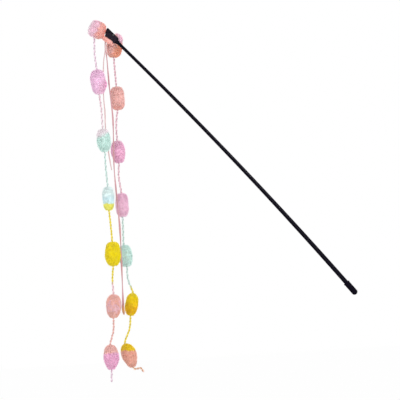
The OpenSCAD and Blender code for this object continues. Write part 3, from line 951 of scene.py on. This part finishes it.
@dataclass
class Tuft:
    """A loose lock of pile, where fibres spill out of the pompoms."""

    name: str
    body: str
    slot: str
    blend: Blend
    route: Route
    radius: float
    seed: int
    origin: Vector = field(default_factory=Vector)
    taper: float = 0.55
    swell_power: float = 0.6
    lobes: float = 0.1
    end_reach: float = 0.4
    fibres_per_mm2: float = 6.5
    fibre_width: float = 0.09 * MM
    root_share: float = 0.3
    curl_length: float = 1.2 * MM
    unevenness: float = 0.15 * MM
    core_share: float = 0.78
    step: float = 0.5 * MM
    sides: int = 14

    def build(self) -> None:
        """Plants the lock round its route, with its packed middle as a child."""
        rng = np.random.default_rng(self.seed)
        line = smooth_route(placed(self.route, self.origin), self.step)
        frames = frames_along(line, Vector((0.3, 1, 0.2)))
        swell = [self.swell(i / (len(line) - 1)) for i in range(len(line))]
        length = self.step * len(line)
        count = round(self.fibres_per_mm2 * 2 * math.pi * self.radius * (length + self.radius) / MM ** 2)
        at = rng.integers(0, len(frames), count)
        turn = rng.uniform(0, 2 * math.pi, count)
        place, out, along = around(frames, at, turn)
        reach = self.radius * np.array(swell)[at] * (1 + self.lobes * np.cos(3 * turn + self.seed))
        reach = reach[:, None]
        ends = np.where(at[:, None] == 0, -1.0, np.where(at[:, None] == len(frames) - 1, 1.0, 0.0))
        slide = rng.normal(0, self.step, (count, 1)) + ends * self.end_reach * self.radius
        surface = place + out * reach + along * slide
        curl = along_surface(rng.normal(0.0, 1.0, (count, 3)), out)
        lie = rng.uniform(*REACHES, (count, 1)) * self.curl_length
        roots = place + out * reach * self.root_share
        bends = surface + curl * BEND_SHARE * lie
        tips = surface + curl * lie + out * rng.normal(0, self.unevenness, (count, 1))
        finish = FibreFinish(f"{self.name}_pile", self.blend, line[0], line[-1]).material()
        widths = self.fibre_width * rng.uniform(*WIDTHS, count)
        piece = plant(self.name, (roots, bends, tips), widths, rng.random(count), finish)
        halves = [(self.core_share * self.radius * w,) * 2 for w in swell]
        core = tube(f"{self.name}_middle", frames, halves, self.sides, finish)
        # Painted shade: the core takes the lock's deepest root colour.
        even_tone(core, SHADED_CORE_LAY)
        core.parent = piece
        dress(piece, self.slot, self.body)

    def swell(self, share: float) -> float:
        """The lock's thickness along its route, as a share of its greatest."""
        return self.taper + (1 - self.taper) * math.sin(math.pi * share) ** self.swell_power


@dataclass
class TwistedYarn:
    """A two-ply yarn along a route, with a little fuzz; its second ply is painted darker, as shade in the
    twist.
    """

    node: str
    body: str
    slot: str
    route: list[Vector]
    finish: FibreFinish
    seed: int
    far_end: str = "object"
    # The second ply's low tone and lay paint it darker, as painted shade in the twist's grooves.
    ply_shade_tones: tuple[float, float] = (0.5, 0.12)
    ply_shade_lays: tuple[float, float] = (0.9, 0.35)
    diameter: float = 2.4 * MM
    pitch: float = 7.2 * MM
    step: float = 0.5 * MM
    sides: int = 8
    ply_offset: float = 0.26
    ply_halves: tuple[float, float] = (0.28, 0.25)
    mark_step: float = 5 * MM
    fuzz_per_m: int = 5200
    fuzz_half: float = 0.05 * MM
    fuzz_root: float = 0.38
    fuzz_rise: tuple[float, float] = (0.12, 0.42)
    fuzz_run: float = 0.35
    fuzz_bend: tuple[float, float] = (0.8, 0.05)

    def build(self) -> None:
        line = smooth_route(self.route, self.step)
        frames = frames_along(line, Vector((0.3, 1, 0)))
        aside = Matrix.Translation((self.ply_offset * self.diameter, 0, 0))
        wide, deep = self.ply_halves
        halves = [(wide * self.diameter, deep * self.diameter)] * len(frames)
        bm = bmesh.new()
        for ply in (0.0, math.pi):
            turned = [f @ Matrix.Rotation(ply + 2 * math.pi * i * self.step / self.pitch, 4, "Z") @ aside
                      for i, f in enumerate(frames)]
            sweep(bm, turned, halves, self.sides)
        material = self.finish.material()
        piece = finished(f"{self.node}_twist", bm, material)
        half = len(piece.data.vertices) // 2
        # Painted shade: the second ply takes much of the finish's deep colour, as the twist's shadow.
        write_values(piece, lay=np.repeat(self.ply_shade_lays, half), tone=np.repeat(self.ply_shade_tones, half))
        length = length_of(line)
        self.fuzz(frames, length, material).parent = piece
        dress(piece, self.slot, self.body, self.node)

    def fuzz(self, frames: Sequence[Matrix], length: float, material: Material) -> Object:
        """Plants short stray fibres that stand out of the twist.

        Args:
            frames: Frames along the yarn.
            length: The yarn's length.
            material: The yarn's finish.

        Returns:
            The fibres, as one piece.
        """
        rng = np.random.default_rng(self.seed)
        count = round(self.fuzz_per_m * length)
        at = rng.integers(1, len(frames) - 1, count)
        place, out, along = around(frames, at, rng.uniform(0, 2 * math.pi, count))
        along = along * rng.normal(0, 1.0, (count, 1))
        roots = place + out * self.fuzz_root * self.diameter
        reach = rng.uniform(*self.fuzz_rise, (count, 1)) * self.diameter
        tips = roots + out * reach + along * self.fuzz_run * self.diameter
        rise, run = self.fuzz_bend
        bends = roots + out * reach * rise + along * run * self.diameter
        widths = np.full(count, self.fuzz_half)
        return plant(f"{self.node}_fuzz", (roots, bends, tips), widths, rng.random(count), material)


@dataclass
class PompomYarn:
    """One hanging strand: seven pompoms, and the yarn above, between and below them."""

    side: Side
    leans: tuple[float, ...]
    bows: tuple[float, ...]
    blends: tuple[Blend, ...]
    flows: tuple[Vector, ...]
    dyes: tuple[str, ...]
    yarn_blends: tuple[Blend, ...]
    yarn_dyes: tuple[str, ...]
    tail: Route
    seed: int
    shoulders: tuple[float, ...] = (2.9, 2.9, 2.9, 2.9, 2.9, 2.3, 2.4)
    narrowings: tuple[float, ...] = (0.0, 0.08, 0.14, 0.1, 0.08, 0.12, 0.3)
    count: int = 7
    yarn_d: float = 2.4 * MM
    swing_room: float = 0.9 * MM

    def build(self) -> None:
        """Builds the strand from the clip down."""
        word = self.side.value
        rows = zip(self.dyes, self.leans, self.blends, self.flows, self.shoulders, self.narrowings)
        for k, (dye, lean, blend, flow, shoulder, narrowing) in enumerate(rows, 1):
            body = "wand" if k == 1 else f"{word}_link_{k}"
            also = (f"{word}_core_2",) if k == 2 else ()
            Pompom(f"{word}_pompom_{k}", body, f"{dye}_pile", lean, blend, self.seed + k, flow, also,
                   shoulder=shoulder, narrowing=narrowing).build()
        for k in range(2, self.count + 1):
            self.yarn(k)

    def axis_end(self, k: int, top: bool) -> Vector:
        """Finds an end of a pompom, on its own axis.

        Args:
            k: The pompom's number.
            top: Whether it is the top or the bottom.

        Returns:
            The point.
        """
        low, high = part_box(f"{self.side.value}_pompom_{k}")
        tilt = math.radians(self.leans[k - 1])
        up = Vector((math.sin(tilt), 0.0, math.cos(tilt))) * (high.z - low.z) / 2
        return (low + high) / 2 + (up if top else -up)

    def yarn(self, k: int) -> None:
        """Builds the yarn that hangs from a pompom's hem and runs through the next pompom.

        Args:
            k: The number of the pompom that it runs through.
        """
        word = self.side.value
        start = joint_place(f"{word}_swing_{k}")
        bow = Vector((self.bows[k - 1] * self.yarn_d, 0.0, 0.0))
        if k == 2:
            end = joint_place(f"{word}_sway")
            route = [start, (start + end) / 2 + bow, end]
            body = f"{word}_lead"
        else:
            end, below = self.axis_end(k, True), self.axis_end(k, False)
            if k < self.count:
                below = joint_place(f"{word}_swing_{k + 1}") + Vector((0.0, 0.0, self.swing_room))
            route = [start, (start + end) / 2 + bow, end, (end + below) / 2, below]
            if k == self.count:
                route += placed(self.tail, below)
            body = f"{word}_link_{k}"
        low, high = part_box(f"{word}_yarn_{k}")
        ends = [Vector((start.x, start.y, z)) for z in (high.z, low.z)]
        # Strong painted shade: the second ply and the fuzz's roots take much of the deep colour, as the
        # twist's shadows.
        finish = FibreFinish(f"{word}_yarn_{k}", self.yarn_blends[k - 2], *ends, root_depth=0.6, spread=0.5,
                             deepen=0.55)
        TwistedYarn(f"{word}_yarn_{k}", body, f"{self.yarn_dyes[k - 2]}_yarn", route, finish,
                    self.seed + 20 + k, "bare" if k == self.count else "object").build()


@dataclass
class FlatCord:
    """A thin soft cord, flat and slightly twisted, which hangs from the hitch."""

    node: str
    route: tuple[tuple[float, float], ...]
    aside: float
    finish: FibreFinish
    far_end: str
    seed: int
    on_it: tuple[Object, ...] = ()
    hitch_d: float = 4.0 * MM
    hitch_gap: float = -0.6 * MM
    half_widths: tuple[float, float] = (0.92 * MM, 1.2 * MM)
    half_depth: float = 0.62 * MM
    twist_pitch: float = 90 * MM
    ruffle: float = 0.09
    step: float = 1.5 * MM
    sides: int = 12
    marks: int = 36

    def build(self) -> None:
        hitch = joint_place(f"{self.node}_swing")
        route = [Vector((x, self.aside, z)) * MM for x, z in self.route]
        way = Vector((route[0].x, 0.0, route[0].z)).normalized()
        start = (self.hitch_d / 2 + self.hitch_gap) * way + Vector((0.0, route[0].y, 0.0))
        line = smooth_route([hitch + p for p in [start, *route]], self.step)
        frames = frames_along(line, Vector((1, 0, 0)))
        turned = [f @ Matrix.Rotation(2 * math.pi * i * self.step / self.twist_pitch, 4, "Z")
                  for i, f in enumerate(frames)]
        rng = np.random.default_rng(self.seed)
        uneven = np.convolve(rng.normal(0.0, 1.0, len(turned) + 4), np.ones(5) / 5, "valid") * self.ruffle * 2
        wide = np.linspace(*self.half_widths, len(turned)) * (1 + uneven)
        halves = [(w, self.half_depth) for w in wide]
        piece = tube(f"{self.node}_flat", turned, halves, self.sides, self.finish.material())
        even_tone(piece)
        dress(piece, "mauve_cord", self.node, self.node)


@dataclass
class Tied:
    """A tied place of the thin cords."""

    node: str
    body: str
    diameter: float
    cord_d: float
    steps: int
    sides: int = 10

    def tie(self, routes: list[list[Vector]], finish: FibreFinish) -> Object:
        """Sweeps the cords along the routes, as one piece.

        Args:
            routes: The points that each cord goes through.
            finish: The cords' finish.

        Returns:
            The piece.
        """
        bm = bmesh.new()
        for route in routes:
            frames = frames_along(route, Vector((0, 1, 0.3)))
            sweep(bm, frames, [(self.cord_d / 2, self.cord_d / 2)] * len(frames), self.sides)
        piece = finished(f"{self.node}_tied", bm, finish.material())
        even_tone(piece)
        dress(piece, "mauve_cord", self.body, self.node)
        return piece


@dataclass
class Hitch(Tied):
    """The thin cords' tie under the clip's lower lip: three turns, and one that binds them."""

    node: str = "cord_hitch"
    body: str = "wand"
    diameter: float = 4.0 * MM
    cord_d: float = 1.15 * MM
    steps: int = 20
    turns: int = 3
    turn_share: float = 0.82
    binding_turns: float = 1.04

    def build(self, finish: FibreFinish) -> None:
        """Winds the turns, then the binding turn across them.

        Args:
            finish: The cords' finish.
        """
        spread = self.diameter - self.cord_d
        routes = []
        for turns, about, share, along in (
                (self.turns, "Y", self.turn_share, spread), (self.binding_turns, "Z", 1.0, 0.0)):
            arm = Vector((spread / 2 * share, 0.0, 0.0))
            steps = round(self.steps * turns)
            marks = [i / steps for i in range(steps + 1)]
            routes.append([middle_of(self.node) + Matrix.Rotation(2 * math.pi * turns * m, 3, about) @ arm
                           + Vector((0.0, along * (m - 0.5), 0.0)) for m in marks])
        self.tie(routes, finish)


@dataclass
class EndKnot(Tied):
    """The overhand knot at the long cord's end."""

    node: str = "long_cord_knot"
    body: str = "long_cord"
    diameter: float = 3.2 * MM
    cord_d: float = 1.1 * MM
    steps: int = 60

    def build(self, finish: FibreFinish) -> Object:
        """Ties the knot, which rides on the cord's body.

        Args:
            finish: The cord's finish.

        Returns:
            The knot.
        """
        size = (self.diameter - self.cord_d) / 6
        turns = [2 * math.pi * i / self.steps for i in range(self.steps)]
        loops = [Vector((math.sin(t) + 2 * math.sin(2 * t), -1.5 * math.sin(3 * t),
                         math.cos(t) - 2 * math.cos(2 * t))) for t in turns]
        return self.tie([[middle_of(self.node) + size * p for p in loops]], finish)


@dataclass
class Rod:
    """The slim lacquered rod, which bows a little from the cap to the ferrule."""

    butt_d: float = 5.6 * MM
    tip_d: float = 3.8 * MM
    cap_mouth: float = 8.6 * MM
    free: float = 397 * MM
    hold_angle: float = math.radians(52)
    droop: float = math.radians(4.4)
    spigot: float = 5.0 * MM
    spigot_ease: float = 0.1 * MM
    sides: int = 48
    stations: int = 60
    finish: MouldedFinish = MouldedFinish(
        "black_lacquer", (7, 4, 18), (19, 15, 32), (0.12, 0.2), 700.0, 0.03, 0.03, 0.04)

    def build(self) -> None:
        """Sweeps the rod along its bend, from inside the cap to inside the clip."""
        bend_r = self.free / self.droop
        tilt = Matrix.Rotation(-(math.pi / 2 - self.hold_angle), 4, "Y")
        marks = np.linspace(-self.spigot, self.free + self.spigot, self.stations)
        bend = [tilt @ Vector((-bend_r * (1 - math.cos(a)), 0.0, self.cap_mouth + bend_r * math.sin(a)))
                for a in marks / bend_r]
        frames = frames_along(bend, Vector((0, 1, 0)))
        radii = [np.interp(s, (0.0, self.free), (self.butt_d / 2, self.tip_d / 2)) for s in marks]
        slim = [r if 0 <= s <= self.free else r - self.spigot_ease for r, s in zip(radii, marks)]
        piece = tube("rod_lacquered", frames, [(r, r) for r in slim], self.sides, self.finish.material())
        dress(piece, "black_rod", "wand", "rod")


@dataclass
class Fittings:
    """The rubber cap, the ferrule and the hinged clip with its pin."""

    rubber: MouldedFinish = MouldedFinish(
        "black_rubber", (7, 4, 18), (20, 16, 34), (0.5, 0.7), 1400.0, 0.25, 0.05)
    plastic: MouldedFinish = MouldedFinish(
        "black_plastic", (16, 8, 22), (38, 27, 43), (0.24, 0.36), 1100.0, 0.12, 0.09)
    steel: MouldedFinish = MouldedFinish(
        "blackened_steel", (26, 26, 28), (70, 70, 72), (0.24, 0.36), 1500.0, 0.05, 0.5)
    cap_edge: float = 0.25 * MM
    moulded_edge: float = 0.14 * MM
    pin_edge: float = 0.1 * MM
    bead_route: Route = (
        (-276.9, -2.95, 323.6), (-273.8, -2.95, 323.1), (-270.8, -2.95, 322.4), (-269, -2.95, 320.9))
    bead_r: float = 0.55 * MM
    bead_step: float = 0.4 * MM
    bead_sides: int = 12

    def build(self) -> None:
        """Rounds and finishes each fitting."""
        plastic, rubber = self.plastic.material(), self.rubber.material()
        rounded("butt_cap", "wand", "black_rubber", self.cap_edge, rubber)
        self.mouth_bead(rubber)
        rounded("ferrule", "wand", "black_plastic", self.moulded_edge, plastic)
        rounded("clip_body", "wand", "black_plastic", self.moulded_edge, plastic)
        rounded("clip_lid", "lid", "black_plastic", self.moulded_edge, plastic)
        rounded("clip_pin", "wand", "steel_pin", self.pin_edge, self.steel.material())

    def mouth_bead(self, material: Material) -> None:
        """Lays the rubber bead along the near edge of the clip's mouth, which the lid closes on.

        Args:
            material: The bead's finish.
        """
        line = smooth_route(placed(self.bead_route), self.bead_step)
        frames = frames_along(line, Vector((0, 1, 0)))
        halves = [(self.bead_r, self.bead_r)] * len(line)
        dress(tube("mouth_bead", frames, halves, self.bead_sides, material), "black_rubber", "wand")


# The dyes are paler than the pile looks, because the pile shades itself.
LILAC = (255, 222, 245)
LILAC_PINK = (255, 205, 234)
PALE_PINK = (255, 247, 251)
ROSE = (255, 222, 236)
PINK = (255, 218, 238)
HOT_PINK = (255, 208, 234)
CORAL = (255, 200, 190)
DEEP_CORAL = (255, 168, 150)
ORANGE = (255, 190, 160)
SALMON = (255, 213, 207)
PEACH = (255, 206, 188)
MINT = (226, 250, 244)
PALE_MINT = (243, 255, 254)
PALE_BLUE = (232, 252, 255)
PALE_YELLOW = (255, 252, 130)
YELLOW = (255, 240, 0)
GOLD = (255, 230, 0)
DEEP_GOLD = (255, 214, 0)
LILAC_YARN = (250, 226, 240)
PINK_YARN = (254, 220, 230)
HOT_YARN = (254, 210, 222)
MINT_YARN = (224, 246, 240)
YELLOW_YARN = (255, 236, 60)
SALMON_YARN = (254, 204, 196)
MAUVE = (210, 156, 162)
PALE_MAUVE = (224, 192, 192)
RUST = (216, 158, 128)
AMBER = (240, 190, 110)
DOWN = Vector((0, 0, -1))
ASLANT = Vector((0.9, 0, -0.45))

LEFT_YARN = PompomYarn(
    side=Side.LEFT,
    leans=(28, -2, -3, 0, 0, 3, 0),
    bows=(0, -0.45, 0.35, -0.2, 0.1, -0.45, 0.8),
    blends=(
        Blend(((0, PALE_PINK), (0.26, ROSE), (0.5, ROSE), (0.64, CORAL), (0.84, CORAL), (1, DEEP_CORAL)),
              wander=0.12),
        Blend(((0, LILAC), (0.6, LILAC), (0.76, PINK), (1, LILAC_PINK)), wander=0.08),
        Blend(((0, PALE_PINK), (0.24, PALE_PINK), (0.34, MINT), (1, MINT)), wander=0.06),
        Blend(((0, PALE_MINT), (0.3, PALE_MINT), (0.5, PALE_BLUE), (0.68, PALE_BLUE), (0.72, PALE_YELLOW),
               (1, PALE_YELLOW))),
        plain(YELLOW, sheen=0.3),
        Blend(((0, SALMON), (0.3, PEACH), (0.5, ROSE), (0.65, SALMON), (1, PEACH)), wander=0.3),
        Blend(((0, SALMON), (0.3, SALMON), (0.36, LILAC_PINK), (1, LILAC_PINK))),
    ),
    flows=(ASLANT, ASLANT, Vector((0.4, 0, -0.9)), DOWN, DOWN, DOWN, DOWN),
    dyes=("coral", "lilac", "mint", "blue", "yellow", "salmon", "lilac"),
    yarn_blends=(
        plain(LILAC_YARN),
        Blend(((0, PINK_YARN), (1, PALE_PINK))),
        plain(MINT_YARN),
        plain(YELLOW_YARN),
        Blend(((0, YELLOW_YARN), (0.3, YELLOW_YARN), (0.4, PINK_YARN), (1, SALMON_YARN))),
        Blend(((0, SALMON_YARN), (0.5, SALMON_YARN), (0.8, LILAC_YARN), (1, LILAC_YARN))),
    ),
    yarn_dyes=("pink", "pink", "mint", "yellow", "yellow", "salmon"),
    tail=((-0.5, 0, -7), (-1, 0, -14)),
    seed=100,
)

RIGHT_YARN = PompomYarn(
    side=Side.RIGHT,
    leans=(6, 0, -2, 0, -6, 10, -17),
    bows=(0, 0, -0.6, -0.7, 0, -1, 0.9),
    blends=(
        Blend(((0, CORAL), (0.2, SALMON), (0.48, SALMON), (0.62, ORANGE), (0.84, ORANGE), (1, DEEP_CORAL)),
              wander=0.1),
        Blend(((0, SALMON), (0.72, SALMON), (1, CORAL)), 0.2, 0.1),
        Blend(((0, ROSE), (0.08, PINK), (0.2, HOT_PINK), (1, HOT_PINK)), wander=0.08),
        plain(PINK),
        plain(MINT),
        Blend(((0, YELLOW), (0.4, GOLD), (0.75, DEEP_GOLD), (1, GOLD)), wander=0.12, sheen=0.3),
        Blend(((0, GOLD), (0.26, GOLD), (0.31, PEACH), (1, PEACH)), sheen=0.45),
    ),
    flows=(Vector((0.9, 0, -0.4)), DOWN, DOWN, DOWN, DOWN, DOWN, DOWN),
    dyes=("coral", "salmon", "hot_pink", "pink", "mint", "yellow", "salmon"),
    yarn_blends=(
        Blend(((0, PINK_YARN), (0.5, HOT_YARN), (1, PINK_YARN))),
        plain(PINK_YARN),
        Blend(((0, PINK_YARN), (1, HOT_YARN))),
        plain(MINT_YARN),
        Blend(((0, MINT_YARN), (0.4, MINT_YARN), (0.5, YELLOW_YARN), (1, YELLOW_YARN))),
        Blend(((0, YELLOW_YARN), (0.6, YELLOW_YARN), (1, SALMON_YARN))),
    ),
    yarn_dyes=("pink", "pink", "pink", "mint", "yellow", "yellow"),
    tail=((3.5, 0, -1.5), (8.5, 0, -1), (12, 0, -6)),
    seed=200,
)

LOOP_ROUTE = (
    (-283.8, -8.2, 326.1), (-276.6, -0.8, 322.6), (-274.2, 0.8, 321.7), (-271.9, 2.6, 321),
    (-270.6, 4.7, 319.9), (-267.5, 12.5, 309),
)
CHUTE_ROUTE = (
    (-7.2, -9, 8), (-4, -6.8, 4.8), (0.3, -5.7, 0.8), (3.6, -5.2, -1.6), (6.7, -2.2, -3.4), (8, 3, -4.6),
    (6.4, 7.8, -5.6), (2.4, 9, -6.6),
)
CROWN_ROUTE = ((4.2, 14, -1.4), (6.4, 11.6, -4.6), (7.8, 8.6, -9.8))
FRAY_ROUTE = ((-0.2, -0.2, 8), (-0.4, -0.2, 4), (0, -0.2, 0), (0.3, -0.2, -3.2))
LOBE_ROUTE = ((6.6, -2, 1.5), (7.2, -2, -3), (6, -2, -8.5))

CORD_ASIDE = 1.1
SHORT_CORD_HALF = (0.85 * MM, 0.85 * MM)
LONG_ROUTE = (
    (-0.5, -10), (0.5, -20), (1, -38), (1.5, -56), (2.5, -74), (3.5, -92), (3, -114), (2, -134),
    (1.5, -154), (2, -174), (3, -198), (4, -222), (4, -246), (3.5, -272), (3, -300), (2.5, -324),
)
SHORT_ROUTE = (
    (-1, -13), (-3.5, -26), (-5, -46), (-6, -68), (-5.5, -86), (-6, -104),
    (-5, -122), (-3.5, -140), (-1.5, -156),
)


def mauve_finish(name: str, rgb: RGB) -> FibreFinish:
    """The thin cords' finish: one soft colour, a little darker in its dips."""
    low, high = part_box(name)
    return FibreFinish(f"{name}_cord", plain(rgb, 0.4), high, low)


def thin_cords() -> None:
    """Builds the hitch, the two thin cords that hang from it and the long one's knot."""
    mauve = mauve_finish("long_cord", MAUVE)
    Hitch().build(mauve)
    knot = EndKnot().build(mauve)
    FlatCord("long_cord", LONG_ROUTE, CORD_ASIDE, mauve, "knot", 31, (knot,)).build()
    FlatCord("short_cord", SHORT_ROUTE, -CORD_ASIDE, mauve_finish("short_cord", PALE_MAUVE), "bare", 32,
             half_widths=SHORT_CORD_HALF).build()


def loose_locks() -> None:
    """Adds the locks that spill out under the clip, behind it, beside a pompom and at the cord's end."""
    crown = Vector((middle_of("right_pompom_1").x, 0.0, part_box("right_pompom_1")[1].z))
    frayed = Blend(((0, MAUVE), (0.2, RUST), (0.6, AMBER), (1, RUST)), 0.4)
    for name, body, slot, blend, route, radius, seed, origin, width in (
            ("clip_lock", "wand", "coral_pile", plain(CORAL, 0.2), CHUTE_ROUTE, 2.7, 41,
             middle_of("cord_hitch"), 0.09),
            ("crown_lock", "wand", "pink_pile", plain(ROSE, 0.2), CROWN_ROUTE, 4.0, 42, crown, 0.09),
            ("lilac_lock", "left_link_2", "pink_pile", plain(LILAC_PINK, 0.2), LOBE_ROUTE, 3.6, 43,
             middle_of("left_pompom_2"), 0.09),
            ("frayed_end", "long_cord", "mauve_cord", frayed, FRAY_ROUTE, 1.6, 45,
             middle_of("long_cord_knot"), 0.07)):
        Tuft(name, body, slot, blend, route, radius * MM, seed, origin, fibre_width=width * MM).build()


def clip_loop() -> None:
    """Builds the middle of the pompom yarn, folded through the clip's mouth between the first pompoms."""
    route = placed(LOOP_ROUTE)
    # Painted shade on the second ply and at the fuzz's roots, as the twist's shadows.
    finish = FibreFinish("loop_yarn", plain(CORAL, 0.2), route[0], route[-1], root_depth=0.3, spread=0.4,
                         deepen=0.7)
    TwistedYarn("yarn_loop", "wand", "salmon_yarn", route, finish, 44, fuzz_per_m=2400).build()


def main() -> None:
    """Builds the pieces in order."""
    Studio().build()
    thin_cords()
    clip_loop()
    LEFT_YARN.build()
    RIGHT_YARN.build()
    loose_locks()
    Rod().build()
    Fittings().build()


if __name__ == "__main__":
    logging.basicConfig(level=logging.INFO, format="%(message)s")
    main()
